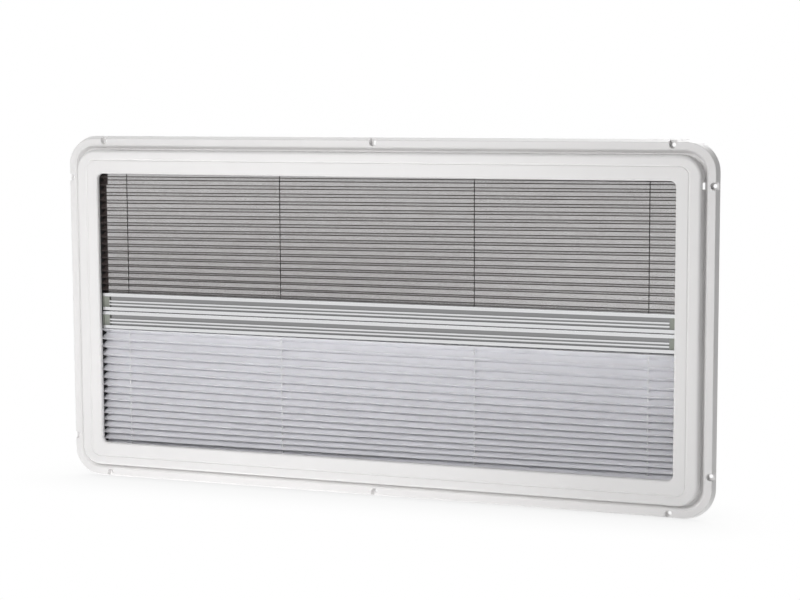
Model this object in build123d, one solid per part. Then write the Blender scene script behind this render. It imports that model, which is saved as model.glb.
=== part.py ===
"""Inner frame of a caravan window: a moulded surround that carries a pleated fly screen above, a
pleated blackout blind below, and the two aluminium handle bars that pull them together.

Axes: X to the right as seen from the room, Y out through the wall, Z up.  The origin is the centre of
the opening, on the wall face of the surround's flange."""
import os
from math import atan, degrees
from build123d import *

# Opening, as seen from the room
OPENING_WIDTH = 840.0
OPENING_HEIGHT = 390.0
OPENING_CORNER = 8.0
OPENING_EDGE_CHAMFER = 1.6

# Surround: raised face, with a lip that turns back into the opening
FRAME_DEPTH = 21.0          # front face to wall face
FACE_WALL = 2.6
LIP_WALL = 2.2
LIP_DEPTH = 6.7             # front face to the lip's back edge
RAISED_MARGIN = 34.0        # opening edge to the foot of the raised wall
RAISED_CORNER = 29.0
RAISED_DRAFT = 1.2
RAISED_EDGE_ROUND = 4.5
RAISED_WALL = 5.5

# Shallow line pressed into the raised face
LINE_SIDE_MARGIN = 16.8
LINE_TOP_MARGIN = 19.3
LINE_CORNER = 12.5
LINE_WIDTH = 3.2
LINE_DEPTH = 1.0
LINE_FLOOR = 0.6

# Flange: shadow groove at the foot of the raised wall, then a rounded bead
FLANGE_THICKNESS = 4.5
GROOVE_FLOOR_WIDTH = 1.3
BEAD_INNER_RUN = 4.2
BEAD_WIDTH = 13.5
BEAD_HEIGHT = 11.0
BEAD_OUTER_RUN = 3.6
BEAD_OUTER_ROUND = 1.4
BEAD_INNER_CHAMFER = 1.2
FLANGE_CORNER_STEP = 13.0   # outer corner radius above the raised wall's

# Screw holes, sunk in the bead by recesses that run out through its side
SCREW_HOLE = 5.4
SCREW_RECESS = 10.0
SCREW_FLOOR = 2.5
SCREW_INSET_TOP = 7.0       # hole centre to the outer edge, top and bottom
SCREW_INSET_SIDE = 6.0      # hole centre to the outer edge, left and right
SCREW_END_OFFSET = 60.0     # outer edge to the first hole along the top and bottom
SCREW_SIDE_OFFSET = 59.5    # outer edge to the first hole along the left and right

# Slot through the raised wall beside the upper right screw
SLOT_HEIGHT = 9.0
SLOT_FRONT = 14.4           # wall face to the slot's front end
SLOT_STEP = 0.3             # raised wall's foot to the slot's outer side

# Guides: black U channels behind the lip that the pleats and bars run in
GUIDE_WALL = 1.2
GUIDE_WEB = 1.6
GUIDE_REVEAL = 0.5          # front leg tip stands back from the opening edge
GUIDE_REAR_SETBACK = 1.2    # rear leg stops short of the front leg
GUIDE_POCKET = 6.5          # front leg tip to the inner face of the web
GUIDE_CLEARANCE = 0.9       # bar to each leg
GUIDE_RIB = 3.0             # rib of the surround that backs the channel

# Head and sill rails, where the folded pleats are stowed
RAIL_HEIGHT = 26.5          # opening edge to the rail's outer face
RAIL_WEB = 2.0
CORNER_PLATE_THICKNESS = 1.6
CORNER_PLATE_ARM = 46.0
CORNER_PLATE_CHAMFER = 3.0

# Handle bars
BAR_HEIGHT = 25.4
BAR_DEPTH = 20.0
BAR_WALL = 1.3
BAR_LIP = 5.0
BAR_RECESS_DEPTH = 7.0
BAR_RIB_WIDTH = 2.2
BAR_RIB_DEPTH = 3.0
BAR_RIB_SPACING = 4.5
BAR_RIB_DROP = 1.95         # the pair of ribs sits this far below the bar's middle
BAR_END_GAP = 1.0           # bar end to the tips of the guides
BAR_LIP_ROUND = 1.2
MEETING_HEIGHT = -3.4       # line where the bars meet, from the opening's middle
MEETING_GAP = 1.0

# End caps of the bars: a plug in the finger recess and a shoe that runs in the channel
CAP_SHOE_GAP = 1.4          # shoe end to the web of the guide
CAP_SHOE_OVERHANG = 0.4
CAP_SHOE_CHAMFER = 0.8
CAP_PLUG_LENGTH = 8.5
CAP_PLUG_DEPTH = 2.4
CAP_FIT = 0.1

# Pleats and their cords
PLEAT_DEPTH = 19.0
PLEAT_SHEET = 0.4
PLEAT_END_GAP = 2.5         # pleat end to the web of the channel
PLEAT_TAB = 8.0             # glued strip at each end of a pleated sheet
SCREEN_PLEATS = 19
BLIND_PLEATS = 19
BLIND_SAG = 0.23            # upper pleats open wider than the mean by this share, lower ones close
CORD_DIAMETER = 1.6
CORD_HOLE = 3.0
CORD_SIDES = 8
CORD_END_INSET = 42.5       # pleat end to the outer cord
CORD_STEP = 239.5           # outer cord to the inner cord

# Places worked out from the sizes above
FACE = -FRAME_DEPTH
LIP_BACK = FACE + LIP_DEPTH
HALF_WIDTH = OPENING_WIDTH / 2
HALF_HEIGHT = OPENING_HEIGHT / 2
GROOVE_FOOT_MARGIN = RAISED_MARGIN + GROOVE_FLOOR_WIDTH
BEAD_SHOULDER_MARGIN = GROOVE_FOOT_MARGIN + BEAD_INNER_RUN
FLANGE_MARGIN = BEAD_SHOULDER_MARGIN + BEAD_WIDTH
FLANGE_CORNER = RAISED_CORNER + FLANGE_CORNER_STEP
SCREW_TOP_Z = HALF_HEIGHT + FLANGE_MARGIN - SCREW_INSET_TOP
SCREW_END_X = HALF_WIDTH + FLANGE_MARGIN - SCREW_END_OFFSET
SCREW_SIDE_X = HALF_WIDTH + FLANGE_MARGIN - SCREW_INSET_SIDE
SCREW_SIDE_Z = HALF_HEIGHT + FLANGE_MARGIN - SCREW_SIDE_OFFSET
BEAD_SHOULDER_CORNER = FLANGE_CORNER - BEAD_WIDTH
GUIDE_INSIDE = BAR_DEPTH + 2 * GUIDE_CLEARANCE
GUIDE_FRONT = LIP_BACK + GUIDE_WALL
GUIDE_REAR = GUIDE_FRONT + GUIDE_INSIDE
GUIDE_MIDDLE = (GUIDE_FRONT + GUIDE_REAR) / 2
GUIDE_BACK = GUIDE_REAR + GUIDE_WALL
GUIDE_TIP_X = HALF_WIDTH + GUIDE_REVEAL
GUIDE_WEB_X = GUIDE_TIP_X + GUIDE_POCKET
GUIDE_OUTER_X = GUIDE_WEB_X + GUIDE_WEB
RAIL_TIP_Z = HALF_HEIGHT + GUIDE_REVEAL
RAIL_OUTER_Z = HALF_HEIGHT + RAIL_HEIGHT
RAIL_WEB_Z = RAIL_OUTER_Z - RAIL_WEB
BAR_END_X = GUIDE_TIP_X - BAR_END_GAP
BAR_FRONT = GUIDE_MIDDLE - BAR_DEPTH / 2
SCREEN_BAR_BOTTOM = MEETING_HEIGHT + MEETING_GAP / 2
SCREEN_BAR_TOP = SCREEN_BAR_BOTTOM + BAR_HEIGHT
BLIND_BAR_TOP = MEETING_HEIGHT - MEETING_GAP / 2
BLIND_BAR_BOTTOM = BLIND_BAR_TOP - BAR_HEIGHT
PLEAT_END_X = GUIDE_WEB_X - PLEAT_END_GAP
CORD_OUTER_X = PLEAT_END_X - CORD_END_INSET
CORD_INNER_X = CORD_OUTER_X - CORD_STEP
CORD_PLACES = (-CORD_OUTER_X, -CORD_INNER_X, CORD_INNER_X, CORD_OUTER_X)
OVERCUT = 1.0               # cutters run this far past the faces they open


def facing(y):
    """Plane parallel to the wall at depth y, drawn as seen from the room."""
    return Plane(origin=(0, y, 0), x_dir=(1, 0, 0), z_dir=(0, -1, 0))


def outline(margin_x, margin_z, corner):
    """Rounded rectangle that lies outside the opening by the two margins."""
    return RectangleRounded(OPENING_WIDTH + 2 * margin_x, OPENING_HEIGHT + 2 * margin_z, corner)


def slab(margin, corner, back, front):
    """Straight-sided block between two depths."""
    return extrude(facing(back) * outline(margin, margin, corner), back - front)


def tapered(margin_x, margin_z, corner, back, front, run):
    """Block that narrows by run from its back to its front, or widens if run is negative."""
    depth = back - front
    grown = max(-run, 0)
    wide_end = outline(margin_x + grown, margin_z + grown, corner + grown)
    block = extrude(wide_end, depth, taper=degrees(atan(abs(run) / depth)))
    if run > 0:
        return Pos(0, back, 0) * Rot(90, 0, 0) * block
    return Pos(0, front, 0) * Rot(-90, 0, 0) * block


def box_between(x, y, z):
    """Box from three (low, high) pairs."""
    size = [high - low for low, high in (x, y, z)]
    middle = [(high + low) / 2 for low, high in (x, y, z)]
    return Pos(*middle) * Box(*size)


def mirrored_pair(solid, plane):
    """A solid and its mirror image."""
    return solid, mirror(solid, about=plane)


def screw_places():
    """X, Z and outward direction, in degrees, of the screw holes in the flange."""
    ends = (-SCREW_END_X, 0.0, SCREW_END_X)
    along = [(x, side * SCREW_TOP_Z, side * 90) for side in (-1, 1) for x in ends]
    upright = [(SCREW_SIDE_X, z, 0) for z in (-SCREW_SIDE_Z, SCREW_SIDE_Z)]
    return along + upright + [(-x, z, 180) for x, z, _ in upright]


def flange():
    """Flat flange with its bead and the shadow groove inside the bead."""
    body = tapered(FLANGE_MARGIN, FLANGE_MARGIN, FLANGE_CORNER, 0, -BEAD_HEIGHT, BEAD_OUTER_RUN)
    body = fillet(body.faces().sort_by(Axis.Y)[0].edges(), BEAD_OUTER_ROUND)
    slope = BEAD_INNER_RUN / (BEAD_HEIGHT - FLANGE_THICKNESS)
    foot_corner = BEAD_SHOULDER_CORNER - BEAD_INNER_RUN
    body -= tapered(GROOVE_FOOT_MARGIN, GROOVE_FOOT_MARGIN, foot_corner, -FLANGE_THICKNESS,
                    -BEAD_HEIGHT - OVERCUT, -BEAD_INNER_RUN - slope * OVERCUT)
    shoulder = body.faces().sort_by(Axis.Y)[0].inner_wires()[0].edges()
    return chamfer(shoulder, BEAD_INNER_CHAMFER)


def raised_face():
    """Raised block with a soft front edge."""
    block = tapered(RAISED_MARGIN, RAISED_MARGIN, RAISED_CORNER, 0, FACE, RAISED_DRAFT)
    return fillet(block.faces().sort_by(Axis.Y)[0].edges(), RAISED_EDGE_ROUND)


def pressed_line():
    """Cutter for the shallow line in the raised face, V shaped with a narrow floor."""
    half_floor = LINE_FLOOR / 2
    run = (LINE_WIDTH - LINE_FLOOR) / 2 / LINE_DEPTH * (LINE_DEPTH + OVERCUT)

    def wall(offset, narrowing):
        return tapered(LINE_SIDE_MARGIN + offset, LINE_TOP_MARGIN + offset, LINE_CORNER + offset,
                       FACE + LINE_DEPTH, FACE - OVERCUT, narrowing)

    return wall(half_floor, -run) - wall(-half_floor, run)


def surround_frame():
    """One-piece moulded surround, hollow behind its raised face."""
    frame = flange() + raised_face()
    frame -= slab(0, OPENING_CORNER, OVERCUT, FACE - OVERCUT)
    front = frame.faces().sort_by(Axis.Y)[0]
    frame = chamfer(front.inner_wires()[0].edges(), OPENING_EDGE_CHAMFER)
    frame -= pressed_line()

    # Pocket for the guides and rails, open to the wall
    pocket_x = (-GUIDE_OUTER_X, GUIDE_OUTER_X)
    pocket_z = (-RAIL_OUTER_Z, RAIL_OUTER_Z)
    frame -= box_between(pocket_x, (LIP_BACK, OVERCUT), pocket_z)
    well = box_between(pocket_x, (FACE + FACE_WALL, LIP_BACK), pocket_z)
    well -= slab(LIP_WALL, OPENING_CORNER + LIP_WALL, LIP_BACK + OVERCUT, FACE)
    frame -= well

    # Hollow of each upright, outside the rib that backs the guide channel
    hollow_x = (GUIDE_OUTER_X + GUIDE_RIB, HALF_WIDTH + RAISED_MARGIN - RAISED_WALL)
    hollow_z = (-HALF_HEIGHT, HALF_HEIGHT)
    hollow = box_between(hollow_x, (FACE + FACE_WALL, OVERCUT), hollow_z)
    for side in mirrored_pair(hollow, Plane.YZ):
        frame -= side

    # Screw holes with their recesses
    for x, z, outward in screw_places():
        spot = facing(-SCREW_FLOOR) * Pos(x, z) * Rot(0, 0, outward)
        run_out = Pos(SCREW_RECESS / 2, 0) * Rectangle(SCREW_RECESS, SCREW_RECESS)
        recess = extrude(spot * (Circle(SCREW_RECESS / 2) + run_out), BEAD_HEIGHT)
        hole = extrude(spot * Circle(SCREW_HOLE / 2), SCREW_FLOOR + OVERCUT, both=True)
        frame -= recess + hole

    # Slot through the raised wall, from the hollow of the upright to the groove
    slot_x = (hollow_x[1] - OVERCUT, HALF_WIDTH + RAISED_MARGIN + SLOT_STEP)
    slot_z = (SCREW_SIDE_Z - SLOT_HEIGHT / 2, SCREW_SIDE_Z + SLOT_HEIGHT / 2)
    frame -= box_between(slot_x, (-SLOT_FRONT, OVERCUT), slot_z)
    return frame


def guide_channel():
    """Right-hand guide: a U channel, open towards the opening, that spans both rails."""
    upright = (-RAIL_OUTER_Z, RAIL_OUTER_Z)
    guide = box_between((GUIDE_TIP_X, GUIDE_OUTER_X), (LIP_BACK, GUIDE_BACK), upright)
    guide -= box_between((GUIDE_TIP_X - OVERCUT, GUIDE_WEB_X), (GUIDE_FRONT, GUIDE_REAR), upright)
    setback = (GUIDE_TIP_X - OVERCUT, GUIDE_TIP_X + GUIDE_REAR_SETBACK)
    return guide - box_between(setback, (GUIDE_REAR - OVERCUT, GUIDE_BACK + OVERCUT), upright)


def head_rail():
    """Upper rail: a U channel, open downwards, between the two guides."""
    along = (-GUIDE_TIP_X, GUIDE_TIP_X)
    block = box_between(along, (LIP_BACK, GUIDE_BACK), (RAIL_TIP_Z, RAIL_OUTER_Z))
    return block - box_between(along, (GUIDE_FRONT, GUIDE_REAR), (RAIL_TIP_Z - OVERCUT, RAIL_WEB_Z))


def corner_plate():
    """Upper right plate that ties a guide to a rail, on their wall side."""
    width = CORNER_PLATE_ARM
    arm_z = RAIL_OUTER_Z - RAIL_TIP_Z
    arm_x = GUIDE_OUTER_X - GUIDE_TIP_X
    place = facing(GUIDE_BACK) * Pos(GUIDE_OUTER_X, RAIL_OUTER_Z)
    across = place * Pos(-width / 2, -arm_z / 2) * Rectangle(width, arm_z)
    down = place * Pos(-arm_x / 2, -width / 2) * Rectangle(arm_x, width)
    plate = extrude(across + down, -CORNER_PLATE_THICKNESS)
    corners = plate.edges().filter_by(Axis.Y)
    ends = corners.group_by(Axis.X)[0] + corners.group_by(Axis.Z)[0]
    return chamfer(ends, CORNER_PLATE_CHAMFER)


def bar_section():
    """Bar profile in depth and height: hollow, with a finger recess and two ribs in its front."""
    def patch(depth, height):
        size = (depth[1] - depth[0], height[1] - height[0])
        return Pos((depth[0] + depth[1]) / 2, (height[0] + height[1]) / 2) * Rectangle(*size)

    recess = (BAR_LIP, BAR_HEIGHT - BAR_LIP)
    body = patch((0, BAR_DEPTH), (0, BAR_HEIGHT))
    body = fillet(body.vertices(), BAR_LIP_ROUND)
    floor = BAR_RECESS_DEPTH
    chamber = patch((BAR_WALL, BAR_DEPTH - BAR_WALL), (BAR_WALL, BAR_HEIGHT - BAR_WALL))
    chamber -= patch((0, floor + BAR_WALL), (recess[0] - BAR_WALL, recess[1] + BAR_WALL))
    body -= chamber
    body -= patch((0, floor), recess)
    middle = BAR_HEIGHT / 2 - BAR_RIB_DROP
    for height in (middle - BAR_RIB_SPACING / 2, middle + BAR_RIB_SPACING / 2):
        body += patch((floor - BAR_RIB_DEPTH, floor), (height - BAR_RIB_WIDTH / 2, height + BAR_RIB_WIDTH / 2))
    return body


def handle_bar(bottom):
    """Extruded bar; its ribs are milled off at both ends to let the plugs in."""
    section = Plane(origin=(-BAR_END_X, BAR_FRONT, bottom), x_dir=(0, 1, 0), z_dir=(1, 0, 0))
    bar = extrude(section * bar_section(), 2 * BAR_END_X)
    recess_y = (BAR_FRONT - OVERCUT, BAR_FRONT + BAR_RECESS_DEPTH)
    recess_z = (bottom + BAR_LIP, bottom + BAR_HEIGHT - BAR_LIP)
    end = box_between((BAR_END_X - CAP_PLUG_LENGTH, BAR_END_X + OVERCUT), recess_y, recess_z)
    for side in mirrored_pair(end, Plane.YZ):
        bar -= side
    return bar


def bar_cap(bottom):
    """Right-hand cap of a bar."""
    shoe = box_between((BAR_END_X, GUIDE_WEB_X - CAP_SHOE_GAP),
                       (BAR_FRONT - CAP_SHOE_OVERHANG, BAR_FRONT + BAR_DEPTH + CAP_SHOE_OVERHANG),
                       (bottom, bottom + BAR_HEIGHT))
    shoe = chamfer(shoe.edges().filter_by(Axis.X), CAP_SHOE_CHAMFER)
    floor = BAR_FRONT + BAR_RECESS_DEPTH
    plug = box_between((BAR_END_X - CAP_PLUG_LENGTH, BAR_END_X), (floor - CAP_PLUG_DEPTH, floor),
                       (bottom + BAR_LIP + CAP_FIT, bottom + BAR_HEIGHT - BAR_LIP - CAP_FIT))
    return shoe + plug


def pleated_sheet(start, end, pleats, sag):
    """Zigzag sheet from a bar (start) to a rail (end), glued to both by a flat strip, with cord holes."""
    pitch = (end - start) / pleats
    half_rise = abs(pitch) / 2
    skew = PLEAT_SHEET * (PLEAT_DEPTH**2 + half_rise**2) ** 0.5 / half_rise
    front = GUIDE_MIDDLE - PLEAT_DEPTH / 2
    back = front + PLEAT_DEPTH - skew
    height = start
    folds = [(back, height)]
    for number in range(pleats):
        opened = pitch * (1 + sag * (1 - 2 * number / (pleats - 1)))
        folds += [(front, height + opened / 2), (back, height + opened)]
        height += opened
    loop = folds + [(y + skew, z) for y, z in reversed(folds)]
    if pitch > 0:
        loop.reverse()
    section = Polygon(*loop, align=None)
    inward = PLEAT_SHEET / 2 * (1 if end > start else -1)
    for tab_middle in (start + inward, end - inward):
        section += Pos(back + skew - PLEAT_TAB / 2, tab_middle) * Rectangle(PLEAT_TAB, PLEAT_SHEET)
    side = Plane(origin=(-PLEAT_END_X, 0, 0), x_dir=(0, 1, 0), z_dir=(1, 0, 0))
    sheet = extrude(side * section, 2 * PLEAT_END_X)
    reach = (min(start, end) - OVERCUT, max(start, end) + OVERCUT)
    half_hole = CORD_HOLE / 2
    for x in CORD_PLACES:
        sheet -= box_between((x - half_hole, x + half_hole),
                             (GUIDE_MIDDLE - half_hole, GUIDE_MIDDLE + half_hole), reach)
    return sheet


def cord(x, low, high):
    """Upright cord between a bar and a rail."""
    section = Plane.XY.offset(low) * Pos(x, GUIDE_MIDDLE) * RegularPolygon(CORD_DIAMETER / 2, CORD_SIDES)
    return extrude(section, high - low)


def build():
    """All pieces by name."""
    pieces = {"surround_frame": surround_frame()}
    right_guide, left_guide = mirrored_pair(guide_channel(), Plane.YZ)
    pieces["guide_channel_right"] = right_guide
    pieces["guide_channel_left"] = left_guide
    pieces["head_rail"], pieces["sill_rail"] = mirrored_pair(head_rail(), Plane.XY)

    plate = corner_plate()
    half_turn = Rot(0, 180, 0)
    pieces["corner_plate_top_right"], pieces["corner_plate_top_left"] = mirrored_pair(plate, Plane.YZ)
    pieces["corner_plate_bottom_right"] = mirror(plate, about=Plane.XY)
    pieces["corner_plate_bottom_left"] = half_turn * plate

    for name, bottom in (("screen_bar", SCREEN_BAR_BOTTOM), ("blind_bar", BLIND_BAR_BOTTOM)):
        pieces[name] = handle_bar(bottom)
        right_cap, left_cap = mirrored_pair(bar_cap(bottom), Plane.YZ)
        pieces[f"{name}_cap_right"] = right_cap
        pieces[f"{name}_cap_left"] = left_cap

    pieces["screen_pleats"] = pleated_sheet(SCREEN_BAR_TOP, RAIL_WEB_Z, SCREEN_PLEATS, 0.0)
    pieces["blind_pleats"] = pleated_sheet(BLIND_BAR_BOTTOM, -RAIL_WEB_Z, BLIND_PLEATS, BLIND_SAG)
    for number, x in enumerate(CORD_PLACES, start=1):
        pieces[f"screen_cord_{number}"] = cord(x, SCREEN_BAR_TOP, RAIL_WEB_Z)
        pieces[f"blind_cord_{number}"] = cord(x, -RAIL_WEB_Z, BLIND_BAR_BOTTOM)
    return pieces


os.makedirs("parts", exist_ok=True)
for node, piece in build().items():
    export_step(piece, f"parts/{node}.step")
    print(node, round(piece.volume, 1))
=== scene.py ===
# %% [markdown]
# # Inner frame of a caravan window
# This lesson dresses the room side of a caravan window: a white moulded surround, a pleated fly screen
# that pulls up, a pleated blackout blind that pulls down, and the two grooved aluminium bars that move
# them. The CAD model gives every size and place. Here each piece gets its real surface, and the two soft
# sheets are folded from flat cloth, because a CAD solid can only hint at cloth.

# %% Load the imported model
import math
from functools import partial

import bpy
from mathutils import Matrix, Vector


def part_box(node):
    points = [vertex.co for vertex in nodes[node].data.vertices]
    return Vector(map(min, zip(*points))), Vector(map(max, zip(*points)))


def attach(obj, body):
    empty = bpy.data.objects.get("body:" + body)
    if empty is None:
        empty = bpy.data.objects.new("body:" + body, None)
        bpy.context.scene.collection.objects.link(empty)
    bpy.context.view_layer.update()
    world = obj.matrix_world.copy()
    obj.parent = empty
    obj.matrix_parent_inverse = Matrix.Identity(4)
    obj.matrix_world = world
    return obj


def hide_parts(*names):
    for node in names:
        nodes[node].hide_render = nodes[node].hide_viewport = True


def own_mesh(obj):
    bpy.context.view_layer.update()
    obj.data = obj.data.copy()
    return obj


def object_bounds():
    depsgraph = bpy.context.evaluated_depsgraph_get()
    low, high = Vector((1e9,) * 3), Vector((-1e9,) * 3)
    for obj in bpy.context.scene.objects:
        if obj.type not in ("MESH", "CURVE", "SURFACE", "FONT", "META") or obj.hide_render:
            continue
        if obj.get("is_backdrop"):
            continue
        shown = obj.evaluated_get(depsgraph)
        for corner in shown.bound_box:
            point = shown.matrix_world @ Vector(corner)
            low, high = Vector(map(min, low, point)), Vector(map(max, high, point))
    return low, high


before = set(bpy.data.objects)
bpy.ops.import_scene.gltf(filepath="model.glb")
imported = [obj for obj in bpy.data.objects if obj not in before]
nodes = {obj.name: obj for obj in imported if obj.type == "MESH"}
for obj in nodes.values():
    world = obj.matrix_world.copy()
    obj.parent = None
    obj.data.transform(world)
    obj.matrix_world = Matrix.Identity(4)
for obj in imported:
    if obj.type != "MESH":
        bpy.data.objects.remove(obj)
cad_low, cad_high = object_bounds()
scene = bpy.context.scene
scene.view_settings.view_transform = "Standard"
MM = 0.001
print("CAD box in metres", [round(v, 4) for v in (*cad_low, *cad_high)], "with", len(nodes), "solids")

# %% [markdown]
# ## The camera
# The photograph was taken from a few metres away, a little to the right of the window and a little above
# it. A camera can be aimed at an empty object. Here the three angles and the offset that fit the frame's
# outline are turned into a matrix instead, so every number has a plain meaning and can be changed by
# itself.

# %% Camera
IMAGE_WIDTH_PX = 800
FOCAL_LENGTH_PX = 1911.0
SENSOR_WIDTH_MM = 36.0
TURN, TILT, ROLL = 0.3588, 0.1105, -0.0040
AIM = Vector((0.0, -0.021, 0.0))
AIM_TO_CAMERA = Vector((0.0399, 0.0274, 2.6095))


def into_scene(name, data):
    """A new object that holds the data, linked to the scene at its origin."""
    made = bpy.data.objects.new(name, data)
    scene.collection.objects.link(made)
    return made


right = Vector((math.cos(TURN), math.sin(TURN), 0.0))
backward = Vector((math.sin(TURN) * math.cos(TILT), -math.cos(TURN) * math.cos(TILT), math.sin(TILT)))
upward = backward.cross(right)
rolled_right = math.cos(ROLL) * right + math.sin(ROLL) * upward
rolled_up = math.cos(ROLL) * upward - math.sin(ROLL) * right

camera_data = bpy.data.cameras.new("photo_camera")
camera_data.sensor_width = SENSOR_WIDTH_MM
camera_data.lens = FOCAL_LENGTH_PX / IMAGE_WIDTH_PX * SENSOR_WIDTH_MM
camera = into_scene("photo_camera", camera_data)
turned = Matrix((rolled_right, rolled_up, backward)).transposed()
camera.matrix_world = Matrix.Translation(AIM + turned @ AIM_TO_CAMERA) @ turned.to_4x4()
scene.camera = camera
stands_at = [round(v, 3) for v in camera.matrix_world.translation]
print("camera at", stands_at, "lens", round(camera_data.lens, 1))

# %% [markdown]
# ## Small helpers for node trees
# Materials and Geometry Nodes are both trees of nodes. They could be linked by hand in an editor, but a
# script can be read, repeated and changed in one place. One helper adds a node, sets its options and
# feeds its inputs, and the rest stand for nodes that come back again and again. With them a tree reads
# like a recipe.

# %% Node helpers
def put(tree, kind, feeds=(), **options):
    """Adds a node: an input is linked when it is fed a socket, and set when it is fed a value."""
    node = tree.nodes.new(kind)
    for option, value in options.items():
        setattr(node, option, value)
    for place, feed in (feeds.items() if isinstance(feeds, dict) else enumerate(feeds)):
        if isinstance(feed, bpy.types.NodeSocket):
            tree.links.new(feed, node.inputs[place])
        else:
            node.inputs[place].default_value = feed
    return node


def sum_of(tree, operation, *feeds):
    """One Math node, named by its operation."""
    return put(tree, "ShaderNodeMath", feeds, operation=operation).outputs[0]


def socket_group(kind, name, takes, gives):
    """A node group with named inputs and outputs; returns it with its input and output nodes."""
    group = bpy.data.node_groups.new(name, kind)
    for label, socket, value in takes:
        made = group.interface.new_socket(label, in_out="INPUT", socket_type="NodeSocket" + socket)
        if value is not None:
            made.default_value = value
    for label, socket in gives:
        group.interface.new_socket(label, in_out="OUTPUT", socket_type="NodeSocket" + socket)
    return group, group.nodes.new("NodeGroupInput").outputs, group.nodes.new("NodeGroupOutput").inputs


print("helpers ready: put, sum_of, socket_group")

# %% Pattern helpers
def axes_of(tree, vector):
    """The X, Y and Z of a vector, by name."""
    return put(tree, "ShaderNodeSeparateXYZ", (vector,)).outputs


def object_place(tree):
    """The place of a point on its piece, in metres."""
    return put(tree, "ShaderNodeTexCoord").outputs["Object"]


def noise(tree, place, per_metre, detail):
    """Soft noise between 0 and 1, with about so many blotches to the metre."""
    feeds = {"Vector": place, "Scale": per_metre, "Detail": detail}
    return put(tree, "ShaderNodeTexNoise", feeds).outputs["Fac"]


def ramp(tree, value, start, end, first=0.0, last=1.0, **options):
    """Goes from first to last while the value goes from start to end, and is level outside."""
    feeds = {"Value": value, "From Min": start, "From Max": end, "To Min": first, "To Max": last}
    return put(tree, "ShaderNodeMapRange", feeds, **options).outputs[0]


def mixed_colour(tree, share, first, second):
    """A colour on the way from the first to the second."""
    feeds = {"Factor": share, "A": first, "B": second}
    return put(tree, "ShaderNodeMix", feeds, data_type="RGBA").outputs["Result"]


print("helpers ready: axes_of, object_place, noise, ramp, mixed_colour")

# %% [markdown]
# ## Floor and backdrop
# The photograph is a plain studio shot on white. A bright lamp could bleach the backdrop, but it would
# bleach the white plastic with it. So the world and the floor are white only to rays that come straight
# from the camera, through the screen or by way of a shiny surface. To all other light they are dim: the
# world gets darker towards the right, and the floor throws light up only from a pool in front of the
# frame. The floor is a sheet of paper that keeps a soft shadow close to what stands on it.

# %% World
WORLD_LIGHT = 0.20
DIM_SHARE = 0.15
DIM_FROM, DIM_TO = -0.8, 0.8


def seen_directly(tree):
    """1 for rays from the camera, also through the screen or by a reflection, and 0 for bounced light."""
    path = put(tree, "ShaderNodeLightPath").outputs
    seen = sum_of(tree, "MAXIMUM", path["Is Camera Ray"], path["Is Glossy Ray"])
    return sum_of(tree, "MAXIMUM", seen, path["Is Transmission Ray"])


def fade(tree, gone, start, end, light):
    """A light level that falls to its dim share while a measure goes from start to end."""
    return ramp(tree, gone, start, end, light, DIM_SHARE * light, interpolation_type="SMOOTHSTEP")


world = bpy.data.worlds.new("white_studio")
scene.world = world
world.use_nodes = True
sky = world.node_tree
background = sky.nodes["Background"].inputs
background["Color"].default_value = (1.0, 1.0, 1.0, 1.0)
heading = axes_of(sky, put(sky, "ShaderNodeTexCoord").outputs["Generated"])
even = fade(sky, heading["X"], DIM_FROM, DIM_TO, WORLD_LIGHT)
level = put(sky, "ShaderNodeMix", {"Factor": seen_directly(sky), "A": even, "B": 1.0}).outputs["Result"]
sky.links.new(level, background["Strength"])
print("world lit at", WORLD_LIGHT, "on the left and", round(DIM_SHARE * WORLD_LIGHT, 3), "on the right")

# %% Floor
FLOOR_REACH = 6.0
FLOOR_CORNERS = ((-1, -1), (1, -1), (1, 1), (-1, 1))
floor_z = cad_low.z
floor_mesh = bpy.data.meshes.new("studio_floor")
floor_mesh.from_pydata([(x * FLOOR_REACH, y * FLOOR_REACH, floor_z) for x, y in FLOOR_CORNERS],
                       [], [(0, 1, 2, 3)])
floor = into_scene("studio_floor", floor_mesh)
floor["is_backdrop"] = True
print("floor at z", round(floor_z, 4))

# %% Floor paper
PAPER_GREY = (0.85, 0.85, 0.85, 1.0)
FLOOR_GLOW = 0.88
POOL_MIDDLE = (-0.3, -0.45, 0.0)
POOL_REACH = 1.2
SHADOW_REACH = 0.12
SHADOW_DEPTH = 0.16
SHADOW_SAMPLES = 8

paper = bpy.data.materials.new("white_paper_floor")
paper.use_nodes = True
tree = paper.node_tree
tree.nodes.clear()
matt = put(tree, "ShaderNodeBsdfDiffuse", {"Color": PAPER_GREY})
spot = put(tree, "ShaderNodeVectorMath", (object_place(tree), (1.0, 1.0, 0.0)), operation="MULTIPLY")
away = put(tree, "ShaderNodeVectorMath", (spot.outputs[0], POOL_MIDDLE), operation="DISTANCE")
pool = fade(tree, away.outputs["Value"], 0.0, POOL_REACH, FLOOR_GLOW)
glow = put(tree, "ShaderNodeEmission", {"Strength": pool})
lit = put(tree, "ShaderNodeAddShader", (matt.outputs[0], glow.outputs[0]))
nearby = put(tree, "ShaderNodeAmbientOcclusion", {"Distance": SHADOW_REACH}, samples=SHADOW_SAMPLES)
shaded = sum_of(tree, "MULTIPLY_ADD", nearby.outputs["AO"], SHADOW_DEPTH, 1.0 - SHADOW_DEPTH)
white = put(tree, "ShaderNodeEmission", {"Strength": shaded})
seen = put(tree, "ShaderNodeMixShader", (seen_directly(tree), lit.outputs[0], white.outputs[0]))
put(tree, "ShaderNodeOutputMaterial", {"Surface": seen.outputs[0]})
floor_mesh.materials.append(paper)
print("floor paper", paper.name, "with", len(tree.nodes), "nodes")

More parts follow.
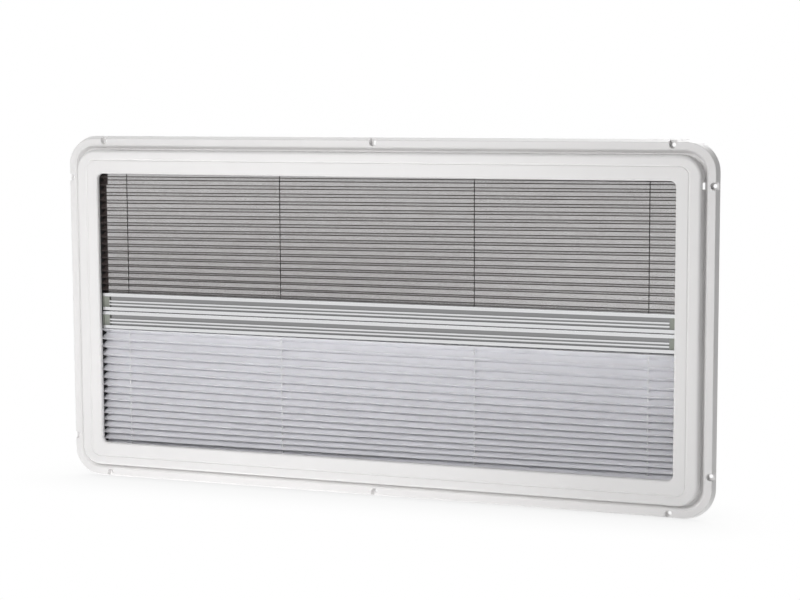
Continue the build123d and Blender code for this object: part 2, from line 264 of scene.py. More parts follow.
# %% [markdown]
# ## Lamps
# The main lamp hangs close in front, a little to the left and above, and gives the pleats their bright
# and dim sides. It isn't mirrored in metal, where a square patch would give it away. A long strip lamp at
# the upper left draws the bright line along the bars, and a large lamp high behind the frame shines
# through the screen as daylight does. A ready-made studio picture could light the scene as well, but
# three lamps can be moved.

# %% Three lamps
LAMPS = {  # place in metres, width and height in metres, watts, mirrored in shiny metal
    "main_lamp": ((-0.16, -1.45, 0.45), (0.45, 0.45), 11.2, False),
    "strip_lamp": ((-1.0, -2.0, 1.8), (2.6, 0.15), 3.0, True),
    "back_lamp": ((0.6, 1.6, 2.6), (2.0, 2.0), 70.0, True),
}
for name, (place, (width, height), watts, mirrored) in LAMPS.items():
    lamp_data = bpy.data.lights.new(name, "AREA")
    lamp_data.shape = "RECTANGLE"
    lamp_data.size = width
    lamp_data.size_y = height
    lamp_data.energy = watts
    lamp = into_scene(name, lamp_data)
    lamp.location = place
    lamp.rotation_euler = (-Vector(place)).to_track_quat("-Z", "Y").to_euler()
    lamp.visible_glossy = mirrored
print("lamps", ", ".join(LAMPS))

# %% [markdown]
# ## A skin for moulded plastic
# The surround, the guides and the bar caps are all injection mouldings. Such a skin is never one flat
# colour: its tone wanders by a percent or two, its gloss wanders more, and the steel mould leaves a fine
# satin grain. Each plastic could have its own nodes for this, but one shader group that makes all three
# from noise in object space is easier to keep alike, and each plastic uses it with its own values.

# %% Moulded skin group
CLOUDS_PER_METRE = 14.0
SMEARS_PER_METRE = 90.0
skin, take, give = socket_group("ShaderNodeTree", "moulded_skin", (
    ("Colour", "Color", (0.8, 0.8, 0.8, 1.0)), ("Tone drift", "Float", 0.02), ("Roughness", "Float", 0.4),
    ("Gloss drift", "Float", 0.08), ("Grain per metre", "Float", 1500.0)),
    (("Colour", "Color"), ("Roughness", "Float"), ("Grain", "Float")))
skin_sum = partial(sum_of, skin)
place = object_place(skin)
cloudy = noise(skin, place, CLOUDS_PER_METRE, detail=3.0)
smeared = noise(skin, place, SMEARS_PER_METRE, detail=4.0)
drift = skin_sum("MULTIPLY", skin_sum("SUBTRACT", cloudy, 0.5), take["Tone drift"])
value = skin_sum("MULTIPLY_ADD", drift, 2.0, 1.0)
toned = put(skin, "ShaderNodeHueSaturation", {"Color": take["Colour"], "Value": value})
gloss = skin_sum("MULTIPLY", skin_sum("SUBTRACT", smeared, 0.5), take["Gloss drift"])
skin.links.new(toned.outputs[0], give["Colour"])
skin.links.new(skin_sum("ADD", take["Roughness"], gloss), give["Roughness"])
skin.links.new(noise(skin, place, take["Grain per metre"], detail=2.0), give["Grain"])
print("group", skin.name, "with", len(skin.nodes), "nodes")

# %% Plastics
def new_material(name):
    """An empty node material; returns it with its tree and its shader."""
    material = bpy.data.materials.new(name)
    material.use_nodes = True
    return material, material.node_tree, material.node_tree.nodes["Principled BSDF"]


def add_bump(tree, shader, height, depth):
    """Feeds a height to the shader's normal; depth is the relief in metres."""
    bump = put(tree, "ShaderNodeBump", {"Strength": 1.0, "Distance": depth, "Height": height})
    tree.links.new(bump.outputs["Normal"], shader.inputs["Normal"])


def moulded_plastic(name, colour, roughness, drift, grain, relief):
    """Plastic with the moulded skin: mean roughness, tone drift, grain per metre, relief in metres."""
    material, tree, shader = new_material(name)
    feeds = {"Colour": (*colour, 1.0), "Roughness": roughness, "Tone drift": drift,
             "Grain per metre": grain}
    cover = put(tree, "ShaderNodeGroup", feeds, node_tree=skin).outputs
    tree.links.new(cover["Colour"], shader.inputs["Base Color"])
    tree.links.new(cover["Roughness"], shader.inputs["Roughness"])
    add_bump(tree, shader, cover["Grain"], relief)
    return material


white_moulding = moulded_plastic("satin_white_moulding", (0.81, 0.80, 0.797), roughness=0.38, drift=0.02,
                                 grain=1500.0, relief=0.012 * MM)
black_guide = moulded_plastic("dull_black_guide", (0.012, 0.012, 0.013), roughness=0.55, drift=0.25,
                              grain=900.0, relief=0.02 * MM)
grey_cap = moulded_plastic("grey_green_cap", (0.29, 0.305, 0.27), roughness=0.5, drift=0.06,
                           grain=1200.0, relief=0.02 * MM)
print("plastics", white_moulding.name, black_guide.name, grey_cap.name)

# %% [markdown]
# ## Painted shade on the cap shoes
# Outside the end of its bar, each cap is a shoe that runs inside the black guide, in its shadow. That
# shadow is painted on: the shoe is coloured near-black as painted shade. The shoe could be cut off and
# given a second material, but a mask on the distance from the middle is enough.

# %% Shoe colour
SHOE_PAINTED_SHADE = (0.015, 0.015, 0.016, 1.0)
bar_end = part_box("screen_bar")[1].x
tree = grey_cap.node_tree
cap_colour = tree.nodes["Principled BSDF"].inputs["Base Color"]
moulded_colour = cap_colour.links[0].from_socket
sideways = sum_of(tree, "ABSOLUTE", axes_of(tree, object_place(tree))["X"])
on_shaded_shoe = sum_of(tree, "GREATER_THAN", sideways, bar_end)
# painted shade: beyond the bar's end the cap is painted near-black for the guide's shadow
tree.links.new(mixed_colour(tree, on_shaded_shoe, moulded_colour, SHOE_PAINTED_SHADE), cap_colour)
print("shoes dark beyond", round(bar_end, 4), "m")

# %% [markdown]
# ## Drawn aluminium
# The bars are pushed through a die and anodised. The die leaves fine lines along the bar, and the lines
# spread a reflection upwards and downwards more than sideways. A plain grey metal would do from far away.
# Close up, noise that is squeezed across the bar and stretched along it gives those lines, both as relief
# and as a change of gloss. The floor of the finger groove is painted a darker grey by a mask on the
# depth:
# painted shade, standing in for the shadow that the lips throw into it.

# %% Aluminium
DRAWN_LINES = (4.0, 2600.0, 2600.0)
DRAWN_BANDS = (1.5, 260.0, 260.0)
METAL_DARK = (0.70, 0.705, 0.715, 1.0)
METAL_BRIGHT = (0.76, 0.765, 0.775, 1.0)
GROOVE_PAINTED_SHADE = (0.27, 0.271, 0.274, 1.0)
GROOVE_STARTS, GROOVE_ENDS = 4.4 * MM, 6.4 * MM
LINE_GLOSS, SMOOTHEST = 0.12, 0.18
LINE_RELIEF = 0.0005 * MM

bar_aluminium, tree, shader = new_material("drawn_bar_aluminium")
shader.inputs["Metallic"].default_value = 1.0
place = object_place(tree)
along = put(tree, "ShaderNodeMapping", {"Vector": place, "Scale": DRAWN_LINES}).outputs[0]
lines = noise(tree, along, 1.0, detail=3.0)
broad = put(tree, "ShaderNodeMapping", {"Vector": place, "Scale": DRAWN_BANDS}).outputs[0]
tint = mixed_colour(tree, noise(tree, broad, 1.0, detail=2.0), METAL_DARK, METAL_BRIGHT)
bar_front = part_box("screen_bar")[0].y
groove = ramp(tree, axes_of(tree, place)["Y"], bar_front + GROOVE_STARTS, bar_front + GROOVE_ENDS)
# painted shade: the groove floor is painted darker by its depth, for the shadow of the lips
tree.links.new(mixed_colour(tree, groove, tint, GROOVE_PAINTED_SHADE), shader.inputs["Base Color"])
tree.links.new(sum_of(tree, "MULTIPLY_ADD", lines, LINE_GLOSS, SMOOTHEST), shader.inputs["Roughness"])
add_bump(tree, shader, lines, LINE_RELIEF)
print("metal", bar_aluminium.name)

# %% [markdown]
# ## Dressing the rigid solids
# The CAD solids of the mouldings and bars already have the right shape, so they stay and only get a
# finish. Each could be dressed by hand, but a table of names and finishes shows at a glance what is made
# of what.

# %% Rigid solids
FINISH = {"surround_frame": white_moulding}
for name in ("guide_channel_left", "guide_channel_right", "head_rail", "sill_rail"):
    FINISH[name] = black_guide
for vertical in ("top", "bottom"):
    for side in ("left", "right"):
        FINISH[f"corner_plate_{vertical}_{side}"] = black_guide
for bar in ("screen_bar", "blind_bar"):
    FINISH[bar] = bar_aluminium
    for side in ("left", "right"):
        FINISH[f"{bar}_cap_{side}"] = grey_cap
for name, finish in FINISH.items():
    nodes[name].material_slots[0].material = finish
print("dressed", len(FINISH), "rigid solids")

# %% [markdown]
# ## Folding a flat sheet
# Screen and blind are flat cloth that a machine has creased every 19 mm. A zigzag could be drawn point by
# point, but then nothing would keep the cloth's length. Here the cloth is cut flat, with its own UV map
# in metres, and a Geometry Nodes group folds it: each point keeps its place across the sheet, and its
# distance along the sheet says which pleat it is on, how deep it lies and how high. The pleats near a bar
# can hang wider open than the rest, and more at one side than at the other. The blind's first crease lies
# close under its bar, and a little noise keeps the creases from being ruler-straight.

# %% Fold group: pleat and depth
FOLD_SIZES = {
    "Pleats": 19.0, "Facet": 0.02, "Tab": 0.008, "Front": -0.008, "Back": 0.01, "Start": 0.0, "End": 0.2,
    "Sag": 0.0, "Sag skew": 0.0, "Sag bias": 1.0, "Bias skew": 0.0, "First closed": 0.0,
    "First lift": 0.0, "Waviness": 0.0, "Seed": 1.0,
}
FOLD_TAKES = [("Geometry", "Geometry", None)]
FOLD_TAKES += [(label, "Float", size) for label, size in FOLD_SIZES.items()]
GEOMETRY_OUT = [("Geometry", "Geometry")]

fold, take, give = socket_group("GeometryNodeTree", "fold_into_pleats", FOLD_TAKES, GEOMETRY_OUT)
fold_sum = partial(sum_of, fold)
flat = axes_of(fold, put(fold, "GeometryNodeInputPosition").outputs[0])
past_tab = fold_sum("SUBTRACT", flat["Y"], take["Tab"])
two_facets = fold_sum("MULTIPLY", take["Facet"], 2.0)
pleated_length = fold_sum("MULTIPLY", take["Pleats"], two_facets)
run = fold_sum("MINIMUM", fold_sum("MAXIMUM", past_tab, 0.0), pleated_length)
on_tab = fold_sum("ABSOLUTE", fold_sum("SUBTRACT", past_tab, run))
pleat = fold_sum("DIVIDE", run, two_facets)
forward_share = fold_sum("MULTIPLY", fold_sum("PINGPONG", pleat, 0.5), 2.0)
depth = fold_sum("SUBTRACT", take["Back"], take["Front"])
y = fold_sum("SUBTRACT", take["Back"], fold_sum("MULTIPLY", depth, forward_share))
y = fold_sum("SUBTRACT", y, on_tab)
print("a point's pleat and depth take", len(fold.nodes), "nodes")

# %% Fold group: height
pitch = fold_sum("DIVIDE", fold_sum("SUBTRACT", take["End"], take["Start"]), take["Pleats"])
sag = fold_sum("MULTIPLY_ADD", take["Sag skew"], flat["X"], take["Sag"])
bias = fold_sum("MULTIPLY_ADD", take["Bias skew"], flat["X"], take["Sag bias"])
left_over = fold_sum("SUBTRACT", 1.0, fold_sum("DIVIDE", pleat, take["Pleats"]))
left_over = fold_sum("MAXIMUM", left_over, 0.0)
gained = fold_sum("MULTIPLY", fold_sum("MULTIPLY", sag, pleat), fold_sum("POWER", left_over, bias))
closed = fold_sum("MULTIPLY", take["First closed"], fold_sum("MINIMUM", pleat, 1.0))
gained = fold_sum("SUBTRACT", gained, fold_sum("MULTIPLY", closed, left_over))
z = fold_sum("MULTIPLY_ADD", pitch, fold_sum("ADD", pleat, gained), take["Start"])
in_first = fold_sum("LESS_THAN", pleat, 1.0)
lift = fold_sum("MULTIPLY", fold_sum("MULTIPLY", forward_share, in_first), take["First lift"])
z = fold_sum("ADD", z, lift)
print("with its height,", len(fold.nodes), "nodes")

# %% Fold group: sway
SWAYS_PER_METRE = 7.0
SWAYS_PER_PLEAT = 0.9
from_ends = fold_sum("MINIMUM", pleat, fold_sum("SUBTRACT", take["Pleats"], pleat))
loose = fold_sum("MULTIPLY", fold_sum("MINIMUM", from_ends, 1.0), take["Waviness"])
sideways = fold_sum("MULTIPLY", flat["X"], SWAYS_PER_METRE)
downwards = fold_sum("MULTIPLY", pleat, SWAYS_PER_PLEAT)
spot = put(fold, "ShaderNodeCombineXYZ", (sideways, downwards, take["Seed"])).outputs[0]
sway = put(fold, "ShaderNodeTexNoise", {"Vector": spot, "Scale": 1.0, "Detail": 1.0}).outputs["Color"]
sway = axes_of(fold, sway)
y = fold_sum("MULTIPLY_ADD", fold_sum("SUBTRACT", sway["X"], 0.5), loose, y)
z = fold_sum("MULTIPLY_ADD", fold_sum("SUBTRACT", sway["Y"], 0.5), loose, z)
folded = put(fold, "ShaderNodeCombineXYZ", (flat["X"], y, z)).outputs[0]
placed = put(fold, "GeometryNodeSetPosition", {"Geometry": take["Geometry"], "Position": folded})
fold.links.new(placed.outputs[0], give["Geometry"])
print("group", fold.name, "with", len(fold.nodes), "nodes")

# %% [markdown]
# ## Punching the cord holes
# The cords run through every facet, so each facet has four small holes. They could be cut one by one. A
# tree is quicker: it asks each face how far it lies from a cord and from the middle of its facet, and
# deletes the few that are near both.

# %% Sheet tree
HOLE_REACH = 0.4


def fold_here(tree, take):
    """Places the fold in a tree, fed from the tree's own inputs, and gives the folded geometry."""
    feeds = {label: take[label] for label, socket, value in FOLD_TAKES}
    return put(tree, "GeometryNodeGroup", feeds, node_tree=fold).outputs["Geometry"]


def end_tree(tree, geometry, material, give):
    """Ends a tree with real geometry that has its material."""
    real = put(tree, "GeometryNodeRealizeInstances", (geometry,)).outputs[0]
    dressed = put(tree, "GeometryNodeSetMaterial", {"Geometry": real, "Material": material})
    tree.links.new(dressed.outputs[0], give["Geometry"])
    print("tree", tree.name, "with", len(tree.nodes), "nodes")


sheet_tree, take, give = socket_group("GeometryNodeTree", "pleated_sheet", FOLD_TAKES + [
    ("Outer cord", "Float", 0.38), ("Inner cord", "Float", 0.14), ("Hole", "Float", 0.003),
    ("Hole depth", "Float", 0.001), ("Cloth", "Material", None)], GEOMETRY_OUT)
sheet_sum = partial(sum_of, sheet_tree)
here = axes_of(sheet_tree, put(sheet_tree, "GeometryNodeInputPosition").outputs[0])
across = sheet_sum("ABSOLUTE", here["X"])
off_outer = sheet_sum("ABSOLUTE", sheet_sum("SUBTRACT", across, take["Outer cord"]))
off_inner = sheet_sum("ABSOLUTE", sheet_sum("SUBTRACT", across, take["Inner cord"]))
off_cord = sheet_sum("MINIMUM", off_outer, off_inner)
by_cord = sheet_sum("LESS_THAN", off_cord, sheet_sum("MULTIPLY", take["Hole"], HOLE_REACH))
middle = sheet_sum("MULTIPLY", sheet_sum("ADD", take["Front"], take["Back"]), 0.5)
off_middle = sheet_sum("ABSOLUTE", sheet_sum("SUBTRACT", here["Y"], middle))
in_hole = sheet_sum("MULTIPLY", by_cord, sheet_sum("LESS_THAN", off_middle, take["Hole depth"]))
punched = put(sheet_tree, "GeometryNodeDeleteGeometry",
              {"Geometry": fold_here(sheet_tree, take), "Selection": in_hole}, domain="FACE")
end_tree(sheet_tree, punched.outputs[0], take["Cloth"], give)

# %% [markdown]
# ## From tree to mesh
# A tree works on an object as a modifier. The modifier could stay, but a plain mesh is easier to measure
# and to export. So the tree runs once on a helper object, and only its result is kept.

# %% Run a tree
def run_tree(name, start_mesh, tree, values):
    """Feeds a mesh to a tree with the named values and keeps the result as a plain mesh object."""
    raw = into_scene(name + "_raw", start_mesh)
    modifier = raw.modifiers.new("tree", "NODES")
    modifier.node_group = tree
    for item in tree.interface.items_tree:
        if item.item_type == "SOCKET" and item.in_out == "INPUT" and item.name in values:
            modifier[item.identifier] = values[item.name]
    bpy.context.view_layer.update()
    evaluated = raw.evaluated_get(bpy.context.evaluated_depsgraph_get())
    mesh = bpy.data.meshes.new_from_object(evaluated)
    mesh.name = name
    bpy.data.objects.remove(raw)
    return into_scene(name, mesh)


print("run_tree ready")

# %% [markdown]
# ## Cutting the cloth
# The flat cut is a plain grid. It could be a ready-made grid with even squares, but then the holes would
# need thousands more of them. So its columns are close together only at the four cords, where a punched
# hole needs edges, and each facet has nine rows, so that its middle row can be the hole.

# %% Flat cut
screen_low, screen_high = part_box("screen_pleats")
blind_low, blind_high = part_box("blind_pleats")
SOLID_HALF = 0.2 * MM
SHEET_END_X = screen_high.x
FOLD_FRONT, FOLD_BACK = screen_low.y + SOLID_HALF, screen_high.y - SOLID_HALF
OUTER_CORD_X, INNER_CORD_X = 382.0 * MM, 142.5 * MM
CORD_PLACES = (-OUTER_CORD_X, -INNER_CORD_X, INNER_CORD_X, OUTER_CORD_X)
CORD_HOLE = 2.0 * MM
PLEATS = 19
FACET = {"screen": 19.3 * MM, "blind": 19.35 * MM}
TAB = 8.0 * MM
COLUMN = 14.0 * MM
ROWS_PER_FACET = 9


def flat_cut(name, facet):
    """The cloth before it is folded, with a UV map in metres; returns it with its length."""
    edges = [-SHEET_END_X]
    for x in CORD_PLACES:
        edges += [x - CORD_HOLE / 2, x + CORD_HOLE / 2]
    edges.append(SHEET_END_X)
    columns = [edges[0]]
    for low, high in zip(edges, edges[1:]):
        steps = max(1, round((high - low) / COLUMN))
        columns += [low + (high - low) * step / steps for step in range(1, steps + 1)]
    rows = [0.0] + [TAB + facet * row / ROWS_PER_FACET for row in range(2 * PLEATS * ROWS_PER_FACET + 1)]
    rows.append(rows[-1] + TAB)
    points = [(x, y, 0.0) for y in rows for x in columns]
    wide = len(columns)
    faces = [(r * wide + c, r * wide + c + 1, (r + 1) * wide + c + 1, (r + 1) * wide + c)
             for r in range(len(rows) - 1) for c in range(wide - 1)]
    mesh = bpy.data.meshes.new(name)
    mesh.from_pydata(points, [], faces)
    uv = mesh.uv_layers.new(name="flat_cut")
    for loop in mesh.loops:
        uv.data[loop.index].uv = points[loop.vertex_index][:2]
    return mesh, rows[-1]


print("columns of", COLUMN / MM, "mm and", ROWS_PER_FACET, "rows a facet")

# %% [markdown]
# ## Creases
# Both cloths look different on a crease: the blind is painted a little lighter there, a painted
# highlight, and the screen closes up. The crease could be painted on by hand. Since it comes back every
# facet along the cut, one shader group works it out from the cloth's own UV map, and each cloth uses it
# with its own facet and reach.

# %% Crease group
crease_mask, take, give = socket_group("ShaderNodeTree", "crease_mask", (
    ("Along", "Float", 0.0), ("Tab", "Float", TAB), ("Facet", "Float", 0.02), ("Reach", "Float", 0.05)),
    (("Mask", "Float"),))
past_tab = sum_of(crease_mask, "SUBTRACT", take["Along"], take["Tab"])
facets = sum_of(crease_mask, "DIVIDE", past_tab, take["Facet"])
off_crease = sum_of(crease_mask, "PINGPONG", facets, 0.5)
crease_mask.links.new(ramp(crease_mask, off_crease, 0.0, take["Reach"], 1.0, 0.0), give["Mask"])


def crease_of(tree, along, facet, reach):
    """1 on a crease, falling to 0 at the given share of a facet."""
    feeds = {"Along": along, "Facet": facet, "Reach": reach}
    return put(tree, "ShaderNodeGroup", feeds, node_tree=crease_mask).outputs["Mask"]


print("group", crease_mask.name, "with", len(crease_mask.nodes), "nodes")

# %% [markdown]
# ## Blackout fabric
# The blind is a thin spunbond cloth with a silver-grey coating. Close up it has short fibres in all
# directions and a soft pearly sheen, and a little light comes through it. A flat grey would look like
# card. The fibres come from noise in the cloth's own UV map, so they follow the folds.

# %% Blind fabric
COATING = (0.92, 0.918, 0.945, 1.0)
FIBRES_PER_METRE, PATCHES_PER_METRE = 900.0, 22.0
BASE_TONE, PATCH_TONE, FIBRE_TONE, CREASE_HIGHLIGHT_TONE = 0.90, 0.10, 0.12, 0.06
CLOTH_ROUGHNESS, FIBRE_ROUGHNESS = 0.5, 0.3
FIBRE_RELIEF = 0.04 * MM
SHEEN = 0.15
SHINES_THROUGH = 0.12

blind_fabric, tree, shader = new_material("silver_blackout_fabric")
cloth_uv = put(tree, "ShaderNodeUVMap", uv_map="flat_cut").outputs[0]
fibres = noise(tree, cloth_uv, FIBRES_PER_METRE, detail=5.0)
patches = noise(tree, cloth_uv, PATCHES_PER_METRE, detail=3.0)
crease = crease_of(tree, axes_of(tree, cloth_uv)["Y"], FACET["blind"], reach=0.05)
tone = sum_of(tree, "MULTIPLY_ADD", patches, PATCH_TONE, BASE_TONE)
tone = sum_of(tree, "MULTIPLY_ADD", fibres, FIBRE_TONE, tone)
# painted highlight: the blind's creases are painted lighter
tone = sum_of(tree, "MULTIPLY_ADD", crease, CREASE_HIGHLIGHT_TONE, tone)
coated = put(tree, "ShaderNodeHueSaturation", {"Color": COATING, "Value": tone}).outputs[0]
tree.links.new(coated, shader.inputs["Base Color"])
roughness = sum_of(tree, "MULTIPLY_ADD", fibres, FIBRE_ROUGHNESS, CLOTH_ROUGHNESS)
tree.links.new(roughness, shader.inputs["Roughness"])
shader.inputs["Sheen Weight"].default_value = SHEEN
add_bump(tree, shader, fibres, FIBRE_RELIEF)
glowing = put(tree, "ShaderNodeBsdfTranslucent", {"Color": coated})
thin = put(tree, "ShaderNodeMixShader", (SHINES_THROUGH, shader.outputs[0], glowing.outputs[0]))
tree.links.new(thin.outputs[0], tree.nodes["Material Output"].inputs["Surface"])
print("cloth", blind_fabric.name)

# %% [markdown]
# ## Insect mesh
# The screen is a net of thin dark threads, so the daylight behind shows through. It could be one evenly
# see-through sheet, but the pleats would be lost. The threads along the window are made as real threads,
# because where a facet is seen nearly edge-on they close up and look darker. The threads across them are
# a pattern in the sheet's own UV map that makes the sheet see-through between them. The net is also made
# a little denser on the lower pleats towards the left.

# %% Screen cloth
THREAD_STEP = 1.3 * MM
THREAD_CORE, THREAD_EDGE = 0.10, 0.22
NET_BROWN = (0.205, 0.158, 0.151, 1.0)
NET_COVER, CROSS_COVER, WANDER_COVER, CREASE_COVER, LOWER_LEFT_COVER = 0.26, 0.35, 0.16, 0.35, 0.08
DENSER_BELOW, DENSER_LEFT_OF = (0.15, 0.5), (0.05, 0.25)
WANDER_PER_METRE, WANDER_TONE, DARKEST_TONE = 30.0, 0.5, 0.75
NET_ROUGHNESS = 0.7
CROSS_RELIEF = 0.08 * MM

screen_mesh, tree, shader = new_material("grey_insect_mesh")
cloth_uv = put(tree, "ShaderNodeUVMap", uv_map="flat_cut").outputs[0]
uv = axes_of(tree, cloth_uv)
wander = noise(tree, cloth_uv, WANDER_PER_METRE, detail=3.0)
off_thread = sum_of(tree, "PINGPONG", sum_of(tree, "DIVIDE", uv["X"], THREAD_STEP), 0.5)
cross_thread = ramp(tree, off_thread, THREAD_CORE, THREAD_EDGE, 1.0, 0.0)
crease = crease_of(tree, uv["Y"], FACET["screen"], reach=0.08)
low_down = ramp(tree, uv["Y"], *DENSER_BELOW, 1.0, 0.0)
leftward = ramp(tree, uv["X"], *DENSER_LEFT_OF, 1.0, 0.0)
# the net is made denser on the lower pleats towards the left
lower_left_denser = sum_of(tree, "MULTIPLY", low_down, leftward)
cover = sum_of(tree, "MULTIPLY_ADD", cross_thread, CROSS_COVER, NET_COVER)
cover = sum_of(tree, "MULTIPLY_ADD", wander, WANDER_COVER, cover)
cover = sum_of(tree, "MULTIPLY_ADD", crease, CREASE_COVER, cover)
cover = sum_of(tree, "MULTIPLY_ADD", lower_left_denser, LOWER_LEFT_COVER, cover)
tree.links.new(cover, shader.inputs["Alpha"])
tone = sum_of(tree, "MULTIPLY_ADD", wander, WANDER_TONE, DARKEST_TONE)
dusty = put(tree, "ShaderNodeHueSaturation", {"Color": NET_BROWN, "Value": tone})
tree.links.new(dusty.outputs[0], shader.inputs["Base Color"])
shader.inputs["Roughness"].default_value = NET_ROUGHNESS
add_bump(tree, shader, cross_thread, CROSS_RELIEF)
print("cloth", screen_mesh.name)

# %% [markdown]
# ## Threads that follow the folds
# A thread is a line on the flat cut that is folded with the cloth and then made round. The same fold
# group does it, so the threads lie in the sheet by themselves. They could be drawn on the sheet instead,
# but then they would not stand out where the sheet turns away. Thicker ones stand for the net that is
# pressed together on each crease.

# %% Thread tree
THREAD_STOPS, THREAD_SIDES = 19, 4
thread_grey = moulded_plastic("thread_grey", (0.055, 0.048, 0.044), roughness=0.6, drift=0.2,
                              grain=2000.0, relief=0.01 * MM)


def flat_threads(name, places):
    """Straight lines across the flat cut at the given distances along it."""
    stops = [SHEET_END_X * (2 * stop / (THREAD_STOPS - 1) - 1) for stop in range(THREAD_STOPS)]
    points = [(x, y, 0.0) for y in places for x in stops]
    edges = [(row * THREAD_STOPS + stop, row * THREAD_STOPS + stop + 1)
             for row in range(len(places)) for stop in range(THREAD_STOPS - 1)]
    mesh = bpy.data.meshes.new(name)
    mesh.from_pydata(points, edges, [])
    return mesh


thread_tree, take, give = socket_group("GeometryNodeTree", "pleated_threads", FOLD_TAKES + [
    ("Thread radius", "Float", 0.0001), ("Thread", "Material", None)], GEOMETRY_OUT)
strands = put(thread_tree, "GeometryNodeMeshToCurve", (fold_here(thread_tree, take),))
ring = put(thread_tree, "GeometryNodeCurvePrimitiveCircle", {
    "Resolution": THREAD_SIDES, "Radius": take["Thread radius"]})
round_thread = put(thread_tree, "GeometryNodeCurveToMesh", {
    "Curve": strands.outputs[0], "Profile Curve": ring.outputs[0], "Fill Caps": True})
end_tree(thread_tree, round_thread.outputs[0], take["Thread"], give)

# %% [markdown]
# ## Folding the screen and the blind
# Now the cut, the fold and the cloth come together. The screen starts at its bar, at the bottom, and the
# blind at its bar, at the top. The values for sag were found by comparing the creases with the
# photograph. Noise alone could not do it, because the sheets hang lower at one side.

# %% Fold the screen
ROW_REACH = 0.6
SHARED_FOLD = {
    "Pleats": float(PLEATS), "Tab": TAB, "Front": FOLD_FRONT, "Back": FOLD_BACK,
    "Outer cord": OUTER_CORD_X, "Inner cord": INNER_CORD_X, "Hole": CORD_HOLE,
    "Hole depth": (FOLD_BACK - FOLD_FRONT) / ROWS_PER_FACET * ROW_REACH,
}
sheets, flat_size = {}, {}


def fold_sheet(kind, cloth, hang):
    """Cuts and folds one sheet; returns the values that it was folded with."""
    values = SHARED_FOLD | hang | {"Facet": FACET[kind], "Cloth": cloth}
    cut, length = flat_cut(kind + "_cut", FACET[kind])
    sheets[kind] = run_tree(kind + "_sheet", cut, sheet_tree, values)
    flat_size[kind] = (2 * SHEET_END_X, length)
    print(kind, "sheet", [round(v, 4) for v in flat_size[kind]], "faces", len(sheets[kind].data.polygons))
    return values


screen_fold = fold_sheet("screen", screen_mesh, {
    "Start": screen_low.z + SOLID_HALF, "End": screen_high.z - SOLID_HALF, "Sag": -0.06, "Sag skew": 0.21,
    "Sag bias": 1.0, "Bias skew": 0.0, "First closed": 0.0, "First lift": 0.0, "Waviness": 0.45 * MM,
    "Seed": 3.0})

# %% Lay the threads
THREAD_RADIUS, CREASE_RADIUS = 0.05 * MM, 0.66 * MM
thread_rows = [THREAD_STEP * (row + 0.5) for row in range(int(flat_size["screen"][1] / THREAD_STEP))]
crease_rows = [TAB + FACET["screen"] * crease for crease in range(1, 2 * PLEATS)]


def lay_threads(name, rows, radius):
    """Round threads along the given rows of the screen, folded as the screen is."""
    values = screen_fold | {"Thread radius": radius, "Thread": thread_grey}
    laid = run_tree(name, flat_threads(name + "_lines", rows), thread_tree, values)
    print(name, "along", len(rows), "rows,", len(laid.data.polygons), "faces")
    return laid


threads = lay_threads("screen_threads", thread_rows, THREAD_RADIUS)
creases = lay_threads("screen_creases", crease_rows, CREASE_RADIUS)

# %% Fold the blind
CLOTH_THICKNESS = 0.25 * MM
fold_sheet("blind", blind_fabric, {
    "Start": blind_high.z - SOLID_HALF, "End": blind_low.z + SOLID_HALF, "Sag": 0.374, "Sag skew": 0.44,
    "Sag bias": 1.33, "Bias skew": 1.174, "First closed": 0.373, "First lift": 3.4 * MM,
    "Waviness": 0.12 * MM, "Seed": 8.0})
body = sheets["blind"].modifiers.new("cloth_thickness", "SOLIDIFY")
body.thickness = CLOTH_THICKNESS
body.offset = 0.0
print("blind cloth", CLOTH_THICKNESS / MM, "mm thick")

# %% [markdown]
# ## Cords
# Four thin braided cords run through the holes of each sheet and keep its bar level. A braid is a bundle
# that turns as it goes along, so a lobed ring is swept along a line and twisted. A plain tube would be
# simpler, but it has no lay to catch the light. The line is straight because the cord is tight.

# %% Cord tree
CORD_STEPS = 240
RING_POINTS, POINTS_PER_LOBE = 12, 3
LOBE_HEIGHT, RING_MEAN = 0.12, 0.88
cord_tree, take, give = socket_group("GeometryNodeTree", "tight_cords", (
    ("Geometry", "Geometry", None), ("Low", "Float", 0.0), ("High", "Float", 0.2),
    ("Depth", "Float", 0.001), ("Radius", "Float", 0.0006), ("Lay", "Float", 0.005),
    ("Braid", "Material", None)), GEOMETRY_OUT)
cord_sum = partial(sum_of, cord_tree)
low_end = put(cord_tree, "ShaderNodeCombineXYZ", (0.0, take["Depth"], take["Low"])).outputs[0]
high_end = put(cord_tree, "ShaderNodeCombineXYZ", (0.0, take["Depth"], take["High"])).outputs[0]
line = put(cord_tree, "GeometryNodeCurvePrimitiveLine", {"Start": low_end, "End": high_end})
stepped = put(cord_tree, "GeometryNodeResampleCurve", {"Curve": line.outputs[0], "Count": CORD_STEPS})
gone = put(cord_tree, "GeometryNodeSplineParameter").outputs["Length"]
turn = cord_sum("MULTIPLY", cord_sum("DIVIDE", gone, take["Lay"]), 2.0 * math.pi)
twisted = put(cord_tree, "GeometryNodeSetCurveTilt", {"Curve": stepped.outputs[0], "Tilt": turn})
ring = put(cord_tree, "GeometryNodeCurvePrimitiveCircle", {
    "Resolution": RING_POINTS, "Radius": take["Radius"]})
number = put(cord_tree, "GeometryNodeInputIndex").outputs[0]
lobe = cord_sum("COSINE", cord_sum("MULTIPLY", number, 2.0 * math.pi / POINTS_PER_LOBE))
swell = cord_sum("MULTIPLY_ADD", lobe, LOBE_HEIGHT, RING_MEAN)
ring_place = put(cord_tree, "GeometryNodeInputPosition").outputs[0]
lobed = put(cord_tree, "ShaderNodeVectorMath", {0: ring_place, "Scale": swell}, operation="SCALE")
lobed_ring = put(cord_tree, "GeometryNodeSetPosition", {
    "Geometry": ring.outputs[0], "Position": lobed.outputs[0]})
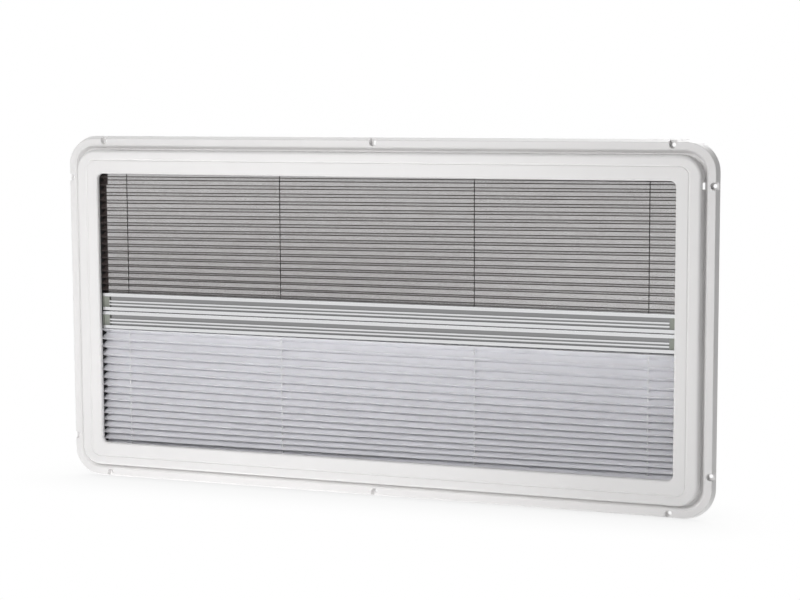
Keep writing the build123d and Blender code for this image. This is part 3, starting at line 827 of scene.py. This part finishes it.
cord_mesh = put(cord_tree, "GeometryNodeCurveToMesh", {
    "Curve": twisted.outputs[0], "Profile Curve": lobed_ring.outputs[0], "Fill Caps": True})
copies = put(cord_tree, "GeometryNodeInstanceOnPoints", {
    "Points": take["Geometry"], "Instance": cord_mesh.outputs[0]})
end_tree(cord_tree, copies.outputs[0], take["Braid"], give)

# %% Run the cords
CORD_LAY = 4.5 * MM
black_cord = moulded_plastic("black_braid", (0.02, 0.02, 0.02), roughness=0.75, drift=0.3,
                             grain=4000.0, relief=0.03 * MM)
white_cord = moulded_plastic("white_braid", (0.95, 0.95, 0.95), roughness=0.75, drift=0.1,
                             grain=4000.0, relief=0.03 * MM)
cords = {}
for kind, braid in (("screen", black_cord), ("blind", white_cord)):
    low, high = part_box(f"{kind}_cord_1")
    points = bpy.data.meshes.new(kind + "_cord_points")
    points.from_pydata([(x, 0.0, 0.0) for x in CORD_PLACES], [], [])
    cords[kind] = run_tree(kind + "_cords", points, cord_tree, {
        "Low": low.z, "High": high.z, "Depth": (low.y + high.y) / 2, "Radius": (high.y - low.y) / 2,
        "Lay": CORD_LAY, "Braid": braid})
    faces = len(cords[kind].data.polygons)
    print(kind, "cords", faces, "faces,", round((high.z - low.z) / MM, 1), "mm long")

# %% [markdown]
# ## What moves with what
# The sheets stay with the surround, where one end is glued to a rail, and the real sheets close up
# towards that rail as their bar slides home, while the real cords run on into the bars. Here the sheets,
# the screen's threads and the cords are attached to the surround, and the CAD solids that they stand for
# are hidden.

# %% Ride with the surround
RAIL_WEB_Z = 219.5 * MM
MOTION = {  # joint, height of the rail's web, and millimetres when stowed over millimetres at rest
    "screen": ("screen_slide", RAIL_WEB_Z, 31.0 / 197.0),
    "blind": ("blind_slide", -RAIL_WEB_Z, 30.8 / 190.2),
}
SLOTS = {"screen": ("screen_mesh", "black_cord"), "blind": ("blind_fabric", "white_cord")}
for kind, (joint, rail_z, keep) in MOTION.items():
    cloth_slot, cord_slot = SLOTS[kind]
    soft = [(sheets[kind], cloth_slot), (cords[kind], cord_slot)]
    if kind == "screen":
        soft += [(threads, cloth_slot), (creases, cloth_slot)]
    for piece, slot in soft:
        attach(piece, "surround")
        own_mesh(piece)
    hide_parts(f"{kind}_pleats")
    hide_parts(*[f"{kind}_cord_{number}" for number in range(1, 5)])

# %% [markdown]
# ## Measuring the result
# Cloth may stand a little proud of the solids, but the whole window must not grow. The box of the dressed
# window is written beside the CAD model's own box, so that the two can be compared.

# %% Size and finish
low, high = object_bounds()
print("visual box in metres", [round(v, 4) for v in (*low, *high)])
